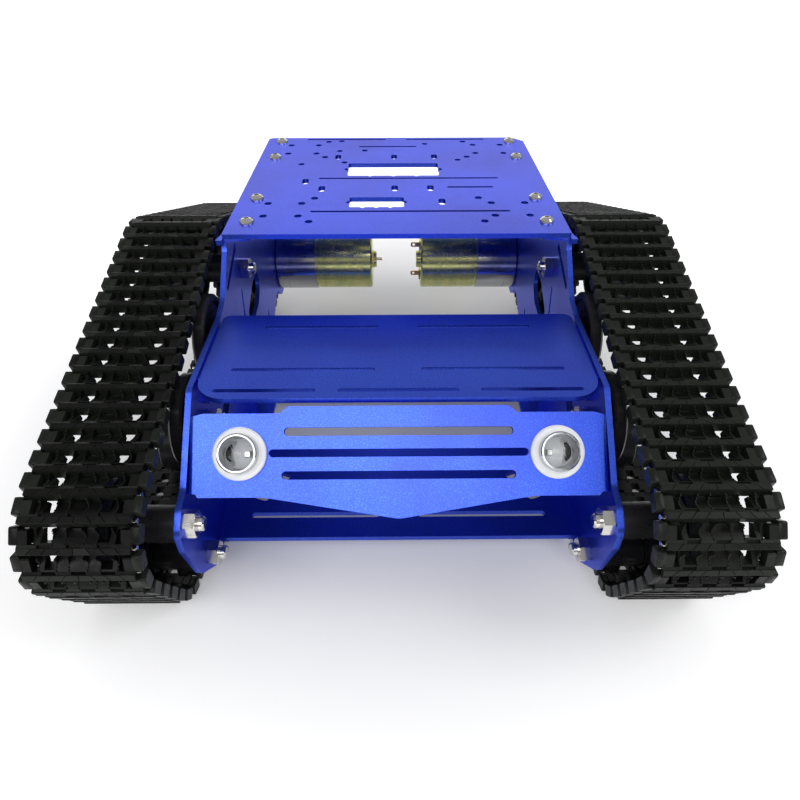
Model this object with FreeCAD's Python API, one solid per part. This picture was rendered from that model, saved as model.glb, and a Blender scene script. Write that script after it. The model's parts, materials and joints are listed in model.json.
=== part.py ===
import FreeCAD, Part
import math
import os

# Tracked tank chassis, in millimetres.
# The nose faces -Y; +Y is to the rear, +Z up, and +X to the right of anyone facing the nose.

# ---- Driving dimensions -----------------------------------------------------
SHEET = 2.0                 # thickness of every aluminium sheet part
PLATE_IN = 68.0             # side plate inner face, from the centre plane
PLATE_OUT = PLATE_IN + SHEET

DECK_TOP = 97.0
DECK_FRONT = 0.0
DECK_REAR = 125.0
DECK_HALF = 69.0
FLANGE_WIDTH = 12.5         # side plate top flange, turned inward under the deck
SCREW_X = 61.2              # deck screw rows, from the centre plane
HOLE_GROUPS_Y = (24.75, 105.25)   # centres of the two deck hole groups
SCREW_OFFSET_Y = 12.75      # deck screws sit this far before and behind each group centre

HOOD_TOP = 73.4
HOOD_FRONT = -73.3
HOOD_REAR = -21.8
HOOD_HALF = 67.3
FLANGE_IN = PLATE_IN - SHEET    # inner face of the flanges that meet the side plates

PANEL_TOP_Y = -76.6         # upper edge of the sloping front panel
PANEL_TOP_Z = 69.8
PANEL_LENGTH = 27.0         # down the slope, at the sides
PANEL_LEAN = 44.8           # degrees from vertical
PANEL_BEND = 1.8            # outer radius where the panel turns into its side flanges
LAMP_X = 51.1
LAMP_DOWN = 13.0            # lamp centre, down the slope from the panel's upper edge

FLOOR_TOP = 13.4
FLOOR_FRONT = -82.0
FLOOR_REAR = 62.0

TRACK_X = 92.6              # centre plane of each track
LINK_PITCH = 7.75           # pin spacing aimed at; the loop takes a whole number of links
LINK_IN = 1.75              # link inner face below the pin line
LINK_OUT = 3.4              # grouser top above the pin line
RIM_DROP = 2.55             # wheel rims run this far below the pin line
IDLER_PIN_R = 18.9          # radius of the pin line around the front and upper wheels
ROAD_PIN_R = 14.1           # and around the small road wheels
DRIVE_PIN_R = 28.45         # and around the drive sprocket
ROLLER_R = 16.8
GROUND_AXLE_Z = ROAD_PIN_R + LINK_OUT

FRONT_AXLE = (-101.3, 45.0)
UPPER_AXLE = (16.7, 74.0)
DRIVE_AXLE = (104.0, 35.0)
ROAD_AXLES = ((-91.6, GROUND_AXLE_Z), (-34.0, GROUND_AXLE_Z), (44.0, GROUND_AXLE_Z))
ROLLER_FRACTIONS = (1 / 3, 2 / 3)   # rollers divide the sloping top run evenly

BOLT_R = 2.45               # M5 axle bolts, turned down to run in the bearings
BOLT_HOLE_R = 2.6
M3_R = 1.45
M3_HOLE_R = 1.6
GEARBOX_R = 16.5
CAN_R = 16.2
SHAFT_R = 3.0

SIDES = (("right", 1), ("left", -1))
X_AXIS = FreeCAD.Vector(1, 0, 0)
Y_AXIS = FreeCAD.Vector(0, 1, 0)
Z_AXIS = FreeCAD.Vector(0, 0, 1)

ROLLER_AXLES = tuple(
    (FRONT_AXLE[0] + f * (UPPER_AXLE[0] - FRONT_AXLE[0]),
     FRONT_AXLE[1] + f * (UPPER_AXLE[1] - FRONT_AXLE[1]))
    for f in ROLLER_FRACTIONS)


# ---- Shape helpers ----------------------------------------------------------
def vec(x, y, z):
    return FreeCAD.Vector(x, y, z)


def block(x0, x1, y0, y1, z0, z1):
    """Box between two opposite corners."""
    return Part.makeBox(x1 - x0, y1 - y0, z1 - z0, vec(x0, y0, z0))


def rod(radius, x0, x1, y=0.0, z=0.0):
    """Cylinder along X."""
    return Part.makeCylinder(radius, x1 - x0, vec(x0, y, z), X_AXIS)


def tube(outer, inner, x0, x1, y=0.0, z=0.0):
    """Hollow cylinder along X."""
    return rod(outer, x0, x1, y, z).cut(rod(inner, x0 - 1, x1 + 1, y, z))


def post(radius, z0, z1, x=0.0, y=0.0):
    """Cylinder along Z."""
    return Part.makeCylinder(radius, z1 - z0, vec(x, y, z0), Z_AXIS)


def spin_x(profile):
    """Solid of revolution about X from (x, radius) points."""
    points = [vec(x, 0, r) for x, r in profile]
    face = Part.Face(Part.makePolygon(points + points[:1]))
    return face.revolve(vec(0, 0, 0), X_AXIS, 360)


def rounded_face(corners, place):
    """Face through (u, v, radius) corners; place turns (u, v) into a point."""
    count = len(corners)
    starts = []
    ends = []
    middles = []
    for index, (u, v, radius) in enumerate(corners):
        before = corners[index - 1]
        after = corners[(index + 1) % count]
        back = FreeCAD.Vector(before[0] - u, before[1] - v, 0).normalize()
        ahead = FreeCAD.Vector(after[0] - u, after[1] - v, 0).normalize()
        half = back.getAngle(ahead) / 2
        here = FreeCAD.Vector(u, v, 0)
        reach = radius / math.tan(half)
        starts.append(here + back * reach)
        ends.append(here + ahead * reach)
        inward = (back + ahead).normalize()
        middles.append(here + inward * (radius / math.sin(half) - radius))
    edges = []
    for index, (u, v, radius) in enumerate(corners):
        if radius > 0:
            bend = (starts[index], middles[index], ends[index])
            edges.append(Part.Arc(*[place(p.x, p.y) for p in bend]).toShape())
        line = (ends[index], starts[(index + 1) % count])
        if line[0].distanceToPoint(line[1]) > 1e-6:
            edges.append(Part.LineSegment(*[place(p.x, p.y) for p in line]).toShape())
    return Part.Face(Part.Wire(edges))


def flat_plate(corners, z0, thickness):
    """Horizontal sheet with an outline of (x, y, radius) corners."""
    return rounded_face(corners, lambda x, y: vec(x, y, z0)).extrude(vec(0, 0, thickness))


def upright_plate(corners, x0, thickness):
    """Sheet across X with an outline of (y, z, radius) corners."""
    return rounded_face(corners, lambda y, z: vec(x0, y, z)).extrude(vec(thickness, 0, 0))


def slot_cut(x0, x1, y0, y1, z0, z1):
    """Cutter for a round-ended slot seen from above."""
    radius = min(x1 - x0, y1 - y0) / 2 - 0.001
    corners = [(x0, y0, radius), (x1, y0, radius), (x1, y1, radius), (x0, y1, radius)]
    return flat_plate(corners, z0, z1 - z0)


def cut_all(shape, cutters):
    return shape.cut(Part.makeCompound(cutters))


def fuse_all(shapes):
    return shapes[0].fuse(shapes[1:]).removeSplitter()


def hexagon(flats, x0, x1, y, z, turn=0.0):
    """Hexagonal prism along X with the given width across flats."""
    radius = flats / math.sqrt(3)
    angles = [math.radians(turn + 60 * k) for k in range(6)]
    points = [vec(x0, y + radius * math.cos(a), z + radius * math.sin(a)) for a in angles]
    return Part.Face(Part.makePolygon(points + points[:1])).extrude(vec(x1 - x0, 0, 0))


def domed_hex_nut(flats, bore, x0, x1, y, z, turn):
    """Hex nut along X with its corners rounded off at both ends."""
    dome_r = flats * 0.565
    length = x1 - x0
    profile = [(x0, 0), (x0, dome_r - 0.35), (x0 + 0.35, dome_r + 0.1),
               (x1 - 0.35, dome_r + 0.1), (x1, dome_r - 0.35), (x1, 0)]
    body = spin_x(profile)
    body.translate(vec(0, y, z))
    nut = hexagon(flats, x0, x1, y, z, turn).common(body)
    return nut.cut(rod(bore, x0 - 1, x0 + length + 1, y, z))


def mirrored(shape, side):
    """The right-hand shape itself, or its mirror image on the left."""
    if side > 0:
        return shape
    return shape.mirror(vec(0, 0, 0), X_AXIS)


def both_sides(shapes):
    """Right-hand solids followed by their left-hand mirror images."""
    return shapes + [mirrored(s, -1) for s in shapes]


def group(shapes):
    return Part.makeCompound(shapes)


# ---- Positions shared by plates and fasteners -------------------------------
DECK_SCREW_YS = [y + s * SCREW_OFFSET_Y for y in HOLE_GROUPS_Y for s in (-1, 1)]
AXLE_POINTS = (FRONT_AXLE, UPPER_AXLE) + ROAD_AXLES
LEAN = math.radians(PANEL_LEAN)
PANEL_DOWN = vec(0, -math.sin(LEAN), -math.cos(LEAN))
PANEL_OUT = vec(0, -math.cos(LEAN), math.sin(LEAN))
PANEL_TOP = vec(0, PANEL_TOP_Y, PANEL_TOP_Z)
PANEL_SCREW_DEPTH = 6.0
PANEL_SCREW_DOWNS = (6.0, 14.5)
HOOD_SCREW_YS = (-58.0, -34.0)
HOOD_SCREW_Z = 65.0
FLOOR_SCREW_YS = (-1.0, 52.0)
FLOOR_SCREW_Z = 7.8
NOSE_SCREW = (-83.4, 8.4)       # lone screw in each side plate, ahead of the floor
MOTOR_SCREW_PCD = 25.0


def panel_point(x, down, out=0.0):
    """Point on the sloping panel's outer face, or out from it."""
    return PANEL_TOP + PANEL_DOWN * down + PANEL_OUT * out + X_AXIS * x


def side_screw_points():
    """(y, z) of the small screws that pass through each side plate."""
    points = [(y, HOOD_SCREW_Z) for y in HOOD_SCREW_YS]
    points += [(y, FLOOR_SCREW_Z) for y in FLOOR_SCREW_YS]
    for down in PANEL_SCREW_DOWNS:
        spot = panel_point(0, down, -PANEL_SCREW_DEPTH)
        points.append((spot.y, spot.z))
    return points


def motor_screw_points():
    """(y, z) of the four screws around each motor shaft."""
    points = []
    for k in range(4):
        angle = math.radians(45 + 90 * k)
        points.append((DRIVE_AXLE[0] + MOTOR_SCREW_PCD / 2 * math.cos(angle),
                       DRIVE_AXLE[1] + MOTOR_SCREW_PCD / 2 * math.sin(angle)))
    return points


# ---- Sheet parts ------------------------------------------------------------
def side_plate():
    """Right side plate: outline, top flange, small front ear and cut-outs."""
    flange_z = DECK_TOP - 2 * SHEET
    outline = [
        (2.5, DECK_TOP - SHEET, 1), (0.0, 90.0, 3), (-15.5, 76.3, 6), (-24.0, 74.3, 6),
        (-69.0, 74.1, 4), (-87.5, 58.9, 3), (-94.2, 53.2, 4), (-101.5, 51.6, 5),
        (-107.6, 46.5, 5), (-107.6, 38.5, 6), (-101.5, 18.5, 9), (-86.5, 4.0, 2),
        (60.0, 4.0, 5), (70.0, 19.6, 5), (84.5, 26.4, 8), (96.0, 15.5, 12),
        (119.0, 17.0, 10), (124.5, 36.0, 12), (123.5, DECK_TOP - SHEET, 1)]
    plate = upright_plate(outline, PLATE_IN, SHEET)
    flange_in = PLATE_OUT - FLANGE_WIDTH
    flange = flat_plate([(flange_in, 3.0, 4), (PLATE_OUT, 1.5, 0.5), (PLATE_OUT, 123.5, 0.5),
                         (flange_in, 122.0, 4)], flange_z, SHEET)
    ear = flat_plate([(PLATE_OUT - 1, -1.2, 0), (PLATE_OUT + 1.6, -1.2, 0.3),
                      (PLATE_OUT, 6.0, 0), (PLATE_OUT - 1, 6.0, 0)], flange_z, SHEET)
    bend_r = 1.6
    bend_x = PLATE_OUT - bend_r
    bend_z = DECK_TOP - SHEET - bend_r
    corner = block(bend_x, PLATE_OUT + 1, -5, 130, bend_z, DECK_TOP)
    corner = corner.cut(Part.makeCylinder(bend_r, 140, vec(bend_x, -8, bend_z), Y_AXIS))
    plate = fuse_all([plate, flange]).cut(corner)
    plate = fuse_all([plate, ear])

    x0 = PLATE_IN - 1
    deep = SHEET + 2
    cutters = [rod(BOLT_HOLE_R, x0, x0 + deep, y, z) for y, z in AXLE_POINTS + ROLLER_AXLES]
    cutters += [rod(M3_HOLE_R, x0, x0 + deep, y, z)
                for y, z in side_screw_points() + motor_screw_points() + [NOSE_SCREW]]
    cutters.append(rod(6.3, x0, x0 + deep, *DRIVE_AXLE))
    cutters += [post(M3_HOLE_R, flange_z - 1, DECK_TOP, SCREW_X, y) for y in DECK_SCREW_YS]
    windows = [
        [(-9.5, 78.6, 0.9), (-8.6, 76.6, 0.9), (13.8, 84.6, 1.0), (14.4, 88.0, 1.0)],
        [(10.6, 66.8, 0.5), (8.0, 53.5, 0.5), (10.2, 53.5, 0.5), (12.4, 66.8, 0.5)],
        [(43.6, 59.6, 2.5), (31.0, 58.6, 6), (16.0, 51.6, 1.5), (21.0, 42.6, 4),
         (38.0, 44.2, 6), (45.6, 50.5, 4)],
        [(55.2, 33.6, 0.6), (53.2, 24.0, 0.6), (56.2, 24.0, 0.6)],
        [(-53.5, 41.5, 4), (-50.5, 33.5, 4), (-33.0, 43.0, 3), (-35.5, 50.0, 3)],
        [(52.0, 88.6, 1.6), (52.0, 84.6, 1.6), (108.0, 84.6, 1.6), (108.0, 88.6, 1.6)],
        [(3.5, 38.8, 2), (1.0, 14.0, 2), (17.0, 14.0, 4), (17.0, 32.0, 6)]]
    cutters += [upright_plate(corners, x0, deep) for corners in windows]
    return cut_all(plate, cutters)


def deck_plate():
    """Top plate with screw holes, board holes, slots and two notched windows."""
    outline = [(-DECK_HALF, DECK_FRONT, 0.8), (DECK_HALF, DECK_FRONT, 0.8),
               (DECK_HALF, DECK_REAR - 6.5, 1), (DECK_HALF - 5.5, DECK_REAR, 1),
               (-DECK_HALF, DECK_REAR, 2.5)]
    z0 = DECK_TOP - SHEET
    plate = flat_plate(outline, z0, SHEET)
    low = z0 - 1
    high = DECK_TOP + 1
    cutters = []
    for group_y in HOLE_GROUPS_Y:
        for sx in (-1, 1):
            for sy in (-1, 1):
                spots = [(SCREW_X, SCREW_OFFSET_Y), (55.5, 6.8), (41.0, 6.8), (36.0, 12.6)]
                cutters += [post(M3_HOLE_R, low, high, sx * x, group_y + sy * y)
                            for x, y in spots]
    loose_holes = [(-46.8, 82.0), (-25.7, 84.5), (-29.2, 119.0), (-29.2, 102.2), (31.0, 88.0),
                   (-16.2, 103.1), (15.4, 113.9)]
    cutters += [post(1.5, low, high, x, y) for x, y in loose_holes]
    long_holes = [(-29.4, 92.7), (-1.0, 92.7), (19.4, 93.0), (-42.3, 58.0), (-33.9, 48.6),
                  (-0.8, 49.0), (15.5, 49.2), (19.8, 33.0)]
    cutters += [slot_cut(x - 1.5, x + 1.5, y - 3.4, y + 3.4, low, high) for x, y in long_holes]
    thin_slots = [(-48.0, -5.5, 122.0), (5.5, 48.0, 122.0), (-19.5, 11.0, 109.5),
                  (-36.5, 48.0, 62.0), (23.0, 44.2, 50.4), (-36.5, 48.0, 22.6)]
    cutters += [slot_cut(x0, x1, y - 0.8, y + 0.8, low, high) for x0, x1, y in thin_slots]
    for x0, x1, y0, y1, bite in ((-23.4, 20.6, 65.6, 83.0, 3.4), (-20.6, 3.2, 27.2, 38.2, 2.6)):
        window = [(x0, y0, 1.2), (x1, y0, 1.2), (x1, y1, 1.2), (x0, y1, 1.2)]
        cutters.append(flat_plate(window, low, high - low))
        for x in (x0, x1):
            cutters.append(post(bite / 2, low, high, x, (y0 + y1) / 2))
        cutters += [post(0.9, low, high, x0 + k * (x1 - x0) / 4, y0) for k in (1, 2, 3)]
    return cut_all(plate, cutters)


def hood_plate():
    """Low flat hood between the side plates, with two turned-down side flanges."""
    z0 = HOOD_TOP - SHEET
    outline = [(-HOOD_HALF, HOOD_FRONT, 10), (HOOD_HALF, HOOD_FRONT, 10),
               (HOOD_HALF, HOOD_REAR, 3), (-HOOD_HALF, HOOD_REAR, 3)]
    pieces = [flat_plate(outline, z0, SHEET)]
    flange = upright_plate([(-62.0, z0 + 1.5, 1), (-29.0, z0 + 1.5, 1), (-29.0, 60.6, 3),
                            (-62.0, 60.6, 3)], FLANGE_IN, SHEET)
    pieces += both_sides([flange])
    low = z0 - 1
    high = HOOD_TOP + 1
    rear_slots = [(7.4, 50.0, -30.5), (8.0, 57.5, -57.5)]
    cutters = []
    for x0, x1, y in rear_slots:
        cutters += both_sides([slot_cut(x0, x1, y - 0.9, y + 0.9, low, high)])
    cutters += both_sides([slot_cut(27.5, 61.5, -70.0, -68.2, low, high)])
    cutters.append(slot_cut(-20.0, 20.0, -70.0, -68.2, low, high))
    cutters += [rod(M3_HOLE_R, -80, 80, y, HOOD_SCREW_Z) for y in HOOD_SCREW_YS]
    return cut_all(fuse_all(pieces), cutters)


def front_panel():
    """Sloping nose panel with a raised middle, a V-shaped lower edge and side flanges."""
    def on_panel(out):
        return lambda x, down: panel_point(x, down, out)

    low = PANEL_LENGTH
    outline = [(-PLATE_IN, 1.2, 0.5), (-63.5, 0.0, 2), (-38.6, 0.0, 0.5), (-35.9, -2.3, 0.8),
               (35.9, -2.3, 0.8), (38.6, 0.0, 0.5), (63.5, 0.0, 2), (PLATE_IN, 1.2, 0.5),
               (PLATE_IN, low - 1.2, 0.5), (65.4, low - 1.2, 0.5), (64.6, low, 0.5),
               (43.5, low, 8), (0.8, low + 6.9, 0.5), (-0.8, low + 6.9, 0.5), (-43.5, low, 8),
               (-64.6, low, 0.5), (-65.4, low - 1.2, 0.5), (-PLATE_IN, low - 1.2, 0.5)]
    face = rounded_face(outline, on_panel(-SHEET))
    pieces = [face.extrude(PANEL_OUT * SHEET)]
    flange_corners = [(1.8, -1.0, 0), (1.8, -10.5, 2.5), (25.5, -10.5, 2.5), (25.5, -1.0, 0)]
    flange = rounded_face(
        flange_corners, lambda down, out: panel_point(FLANGE_IN, down, out))
    pieces += both_sides([flange.extrude(X_AXIS * SHEET)])
    panel = fuse_all(pieces)
    edge = PLATE_IN - PANEL_BEND
    waste = rounded_face(
        [(edge, -PANEL_BEND, 0), (PLATE_IN + 1, -PANEL_BEND, 0), (PLATE_IN + 1, 1, 0), (edge, 1, 0)],
        lambda x, out: panel_point(x, -4, out))
    waste = waste.extrude(PANEL_DOWN * (PANEL_LENGTH + 8))
    round_start = panel_point(edge, -5, -PANEL_BEND)
    waste = waste.cut(Part.makeCylinder(PANEL_BEND, PANEL_LENGTH + 10, round_start, PANEL_DOWN))
    panel = panel.cut(waste).cut(mirrored(waste, -1))

    cutters = []
    slots = [(37.2, 4.6, 7.4), (42.0, 11.6, 14.2), (37.8, 18.7, 21.4)]
    for half, down0, down1 in slots:
        radius = (down1 - down0) / 2 - 0.001
        corners = [(-half, down0, radius), (half, down0, radius),
                   (half, down1, radius), (-half, down1, radius)]
        cutters.append(rounded_face(corners, on_panel(-5)).extrude(PANEL_OUT * 7))
    for x in (-LAMP_X, LAMP_X):
        cutters.append(Part.makeCylinder(5.6, 7, panel_point(x, LAMP_DOWN, -5), PANEL_OUT))
    for down in PANEL_SCREW_DOWNS:
        spot = panel_point(0, down, -PANEL_SCREW_DEPTH)
        cutters.append(rod(M3_HOLE_R, -80, 80, spot.y, spot.z))
    return cut_all(panel, cutters)


def bottom_plate():
    """Floor with turned-down side flanges, a battery window and lightening slots."""
    z0 = FLOOR_TOP - SHEET
    outline = [(-PLATE_IN, FLOOR_FRONT, 1), (PLATE_IN, FLOOR_FRONT, 1),
               (PLATE_IN, FLOOR_REAR, 1), (-PLATE_IN, FLOOR_REAR, 1)]
    pieces = [flat_plate(outline, z0, SHEET)]
    flange_front = FLOOR_FRONT + 3.5
    flange = upright_plate([(flange_front, z0 + 1, 0), (FLOOR_REAR - 2, z0 + 1, 0),
                            (FLOOR_REAR - 2, 4.6, 3), (flange_front, 4.6, 3)],
                           FLANGE_IN, SHEET)
    pieces += both_sides([flange])
    low = z0 - 1
    deep = SHEET + 2
    window = [(-58.0, -27.5, 5), (58.0, -27.5, 5), (58.0, 9.0, 5), (-58.0, 9.0, 5)]
    cutters = [flat_plate(window, low, deep)]
    side_cuts = [slot_cut(7.4, 57.0, -72.4, -69.8, low, low + deep),
                 flat_plate([(44.0, -50.0, 1.5), (52.5, -64.0, 1.5), (58.0, -62.0, 1.5),
                             (50.0, -47.5, 1.5)], low, deep),
                 slot_cut(12.0, 52.0, 24.0, 28.0, low, low + deep),
                 slot_cut(12.0, 52.0, 42.0, 46.0, low, low + deep)]
    side_cuts += [post(M3_HOLE_R, low, low + deep, x, y)
                  for x in (24.5, 41.0) for y in (-43.5, 17.0, 54.0)]
    cutters += both_sides(side_cuts)
    cutters += [rod(M3_HOLE_R, -80, 80, y, FLOOR_SCREW_Z) for y in FLOOR_SCREW_YS]
    return cut_all(fuse_all(pieces), cutters)


# ---- Fasteners --------------------------------------------------------------
def button_screw_along_x(x_seat, length, head_r, head_h, shank_r, y, z):
    """Screw whose domed head stands out towards +X from its seat."""
    head = spin_x([(0, 0), (0, head_r), (head_h * 0.45, head_r * 0.94),
                   (head_h * 0.85, head_r * 0.66), (head_h, head_r * 0.4), (head_h, 0)])
    socket = hexagon(shank_r * 1.4, head_h * 0.35, head_h + 1, 0, 0)
    shank = spin_x([(-length, 0), (-length, shank_r * 0.75), (-length + 0.5, shank_r),
                    (0.1, shank_r), (0.1, 0)])
    screw = head.fuse(shank).removeSplitter().cut(socket)
    screw.translate(vec(x_seat, y, z))
    return screw


def deck_screws():
    """Button-head screws standing on the deck."""
    screws = []
    for y in DECK_SCREW_YS:
        screw = button_screw_along_x(0, 7.6, 2.95, 1.75, M3_R, 0, 0)
        screw.rotate(vec(0, 0, 0), Y_AXIS, -90)
        screw.translate(vec(SCREW_X, y, DECK_TOP))
        screws.append(screw)
    return group(both_sides(screws))


def deck_nuts():
    """Hex nuts under the side plates' top flanges."""
    nuts = []
    for y in DECK_SCREW_YS:
        nut = domed_hex_nut(5.5, M3_R + 0.05, -2.4, 0, 0, 0, 0)
        nut.rotate(vec(0, 0, 0), Y_AXIS, -90)
        nut.translate(vec(SCREW_X, y, DECK_TOP - 2 * SHEET))
        nuts.append(nut)
    return group(both_sides(nuts))


def side_screws():
    screws = [button_screw_along_x(PLATE_OUT, 9.6, 2.75, 1.6, M3_R, y, z)
              for y, z in side_screw_points()]
    screws.append(button_screw_along_x(PLATE_OUT, 5.6, 2.75, 1.6, M3_R, *NOSE_SCREW))
    return group(both_sides(screws))


def side_nuts():
    nuts = [domed_hex_nut(5.5, M3_R + 0.05, FLANGE_IN - 2.4, FLANGE_IN, y, z, 0)
            for y, z in side_screw_points()]
    nuts.append(domed_hex_nut(5.5, M3_R + 0.05, PLATE_IN - 2.4, PLATE_IN, *NOSE_SCREW, 0))
    return group(both_sides(nuts))


def motor_screws():
    screws = [button_screw_along_x(PLATE_OUT, 5.6, 2.75, 1.6, M3_R, y, z)
              for y, z in motor_screw_points()]
    return group(both_sides(screws))


WHEEL_IN = TRACK_X - 6.4
WHEEL_OUT = TRACK_X + 6.4
ROLLER_IN = 72.0
ROLLER_OUT = 76.6
NUT_LENGTH = 4.0
BOLT_TIP_X = 61.8           # axle bolts end this far from the centre plane
AXLE_NUT_TURNS = (30, 41, 0, 0, 0, 25, 36)  # the low ones lie flat side down over the floor
SIDE_GAP = 0.3              # end play between a turning face and a fixed one


def axle_bolts():
    """Long bolts that carry the wheels, heads outermost."""
    seat = WHEEL_OUT + SIDE_GAP
    bolts = [button_screw_along_x(seat, seat - BOLT_TIP_X, 4.7, 2.7, BOLT_R, y, z)
             for y, z in AXLE_POINTS]
    return group(both_sides(bolts))


def roller_bolts():
    seat = ROLLER_OUT + SIDE_GAP
    bolts = [button_screw_along_x(seat, seat - BOLT_TIP_X, 4.7, 2.7, BOLT_R, y, z)
             for y, z in ROLLER_AXLES]
    return group(both_sides(bolts))


def axle_nuts():
    nuts = [domed_hex_nut(8.0, BOLT_R + 0.05, PLATE_IN - NUT_LENGTH, PLATE_IN, y, z, turn)
            for (y, z), turn in zip(AXLE_POINTS + ROLLER_AXLES, AXLE_NUT_TURNS)]
    return group(both_sides(nuts))


def axle_spacers():
    """Plain sleeves between the side plates and the wheels and rollers."""
    sleeves = [tube(6.0, BOLT_HOLE_R, PLATE_OUT, WHEEL_IN - SIDE_GAP, y, z)
               for y, z in AXLE_POINTS]
    sleeves += [tube(6.0, BOLT_HOLE_R, PLATE_OUT, ROLLER_IN - SIDE_GAP, y, z)
                for y, z in ROLLER_AXLES]
    return group(both_sides(sleeves))


# ---- Wheels -----------------------------------------------------------------
BEARING_R = 5.0
BEARING_WIDTH = 4.0


def track_wheel(pin_r, y, z):
    """Wheel that runs between the track's two rows of windows, dished on both sides."""
    half = (WHEEL_OUT - WHEEL_IN) / 2
    hub_bore = BEARING_R + 0.03
    rim_r = pin_r - RIM_DROP
    dish_r = rim_r - 2.5
    right_side = [(half - 0.6, rim_r), (half, rim_r - 0.6), (half, dish_r),
                  (1.6, dish_r - 0.7), (2.0, 7.4), (half, 6.8), (half, hub_bore),
                  (half - BEARING_WIDTH, hub_bore), (half - BEARING_WIDTH, 3.6)]
    left_side = [(-x, r) for x, r in reversed(right_side)]
    wheel = spin_x(right_side + left_side)
    if dish_r > 12:
        hole_ring_r = (dish_r + 7.4) / 2
        angles = [math.radians(60 * k + 30) for k in range(6)]
        wheel = cut_all(wheel, [rod(1.7, -3, 3, hole_ring_r * math.cos(a),
                                    hole_ring_r * math.sin(a)) for a in angles])
    wheel.translate(vec(TRACK_X, y, z))
    return wheel


def wheel_bearings(y, z):
    """Ball bearing at each end of a wheel's hub."""
    rings = []
    for x0 in (WHEEL_IN, WHEEL_OUT - BEARING_WIDTH):
        ring = spin_x([(0, BOLT_R + 0.05), (0, 3.3), (0.25, 3.3), (0.25, 4.3), (0, 4.3),
                       (0, BEARING_R), (BEARING_WIDTH, BEARING_R), (BEARING_WIDTH, 4.3),
                       (BEARING_WIDTH - 0.25, 4.3), (BEARING_WIDTH - 0.25, 3.3),
                       (BEARING_WIDTH, 3.3), (BEARING_WIDTH, BOLT_R + 0.05)])
        ring.translate(vec(x0, y, z))
        rings.append(ring)
    return group(rings)


def support_roller(y, z):
    """Thin disc beside the side plate that carries the inner edge of the top run."""
    width = ROLLER_OUT - ROLLER_IN
    roller = spin_x([(0, BOLT_R + 0.05), (0, 6.5), (0.9, 7.2), (0.9, 13.4), (0, 14.2),
                     (0, ROLLER_R - 0.8), (0.8, ROLLER_R), (width - 0.8, ROLLER_R),
                     (width, ROLLER_R - 0.8), (width, 14.2), (width - 0.9, 13.4),
                     (width - 0.9, 7.2), (width, 6.5), (width, BOLT_R + 0.05)])
    roller.translate(vec(ROLLER_IN, y, z))
    return roller


# ---- Drive ------------------------------------------------------------------
TOOTH_COUNT = 23
TOOTH_RING_OFFSET = 8.15    # tooth rings line up with the windows in the links
TOOTH_RING_HALF = 1.2
TOOTH_TIP_R = DRIVE_PIN_R - RIM_DROP
TOOTH_ROOT_R = TOOTH_TIP_R - 3.0
SHAFT_END = TRACK_X + 4.6
HUB_SEAT = TRACK_X - 10.5   # hub flange face that the sprocket's drum sits against


def toothed_ring(x_middle):
    """Flat ring of trapezoidal teeth about the drive axle."""
    points = []
    step = 2 * math.pi / TOOTH_COUNT
    for k in range(TOOTH_COUNT):
        for radius, part in ((TOOTH_ROOT_R, -0.30), (TOOTH_TIP_R, -0.14),
                             (TOOTH_TIP_R, 0.14), (TOOTH_ROOT_R, 0.30)):
            angle = (k + part) * step
            points.append(vec(x_middle - TOOTH_RING_HALF, radius * math.cos(angle),
                              radius * math.sin(angle)))
    face = Part.Face(Part.makePolygon(points + points[:1]))
    return face.extrude(vec(2 * TOOTH_RING_HALF, 0, 0))


def drive_sprocket():
    """Drum, web and rim with two toothed rings, bored for its brass hub."""
    drum = spin_x([(-10.4, 5.05), (-10.4, 8.0), (-9.4, 10.2), (9.4, 10.2), (9.4, 5.05)])
    rim_r = TOOTH_ROOT_R - 1.2
    web = spin_x([(-1.8, 9.5), (-1.8, rim_r - 2.2), (-9.0, rim_r - 1.8), (-9.0, rim_r),
                  (9.0, rim_r), (9.0, rim_r - 1.8), (1.8, rim_r - 2.2), (1.8, 9.5)])
    rings = [toothed_ring(s * TOOTH_RING_OFFSET).cut(rod(rim_r - 1.5, -20, 20))
             for s in (-1, 1)]
    sprocket = fuse_all([drum, web] + rings)
    holes = []
    for k in range(6):
        angle = math.radians(60 * k + 90)
        holes.append(rod(1.25, -20, 20, 7.6 * math.cos(angle), 7.6 * math.sin(angle)))
        holes.append(rod(2.8, -4, 4, 14.6 * math.cos(angle), 14.6 * math.sin(angle)))
    sprocket = cut_all(sprocket, holes)
    sprocket.translate(vec(TRACK_X, *DRIVE_AXLE))
    return sprocket


def shaft_section(radius, x0, x1):
    """D-section rod along the drive axle, flat side up."""
    body = rod(radius, x0, x1, *DRIVE_AXLE)
    flat_z = DRIVE_AXLE[1] + radius - 0.5
    return body.cut(block(x0 - 1, x1 + 1, DRIVE_AXLE[0] - 9, DRIVE_AXLE[0] + 9,
                          flat_z, flat_z + 9))


def motor_shaft():
    """Gearbox output shaft: round in the gearbox, D-section where the hub grips it."""
    inner = rod(SHAFT_R, 54.0, 73.0, *DRIVE_AXLE)
    return fuse_all([inner, shaft_section(SHAFT_R, 73.0, SHAFT_END)])


def sprocket_hub():
    """Flanged brass hub between the motor shaft and the sprocket."""
    inner = HUB_SEAT - 5.3
    outer = HUB_SEAT + 18.7
    hub = spin_x([(inner, 0), (inner, 8.0), (HUB_SEAT, 8.0), (HUB_SEAT, 5.0), (outer, 5.0),
                  (outer, 0)])
    hub.translate(vec(0, *DRIVE_AXLE))
    bore = shaft_section(SHAFT_R + 0.03, inner - 0.6, SHAFT_END + 0.3)
    setscrew = post(1.25, DRIVE_AXLE[1], DRIVE_AXLE[1] + 9, inner + 2.6, DRIVE_AXLE[0])
    return hub.cut(bore).cut(setscrew)


GEARBOX_IN = 45.7
CAN_END = 13.9


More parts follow.
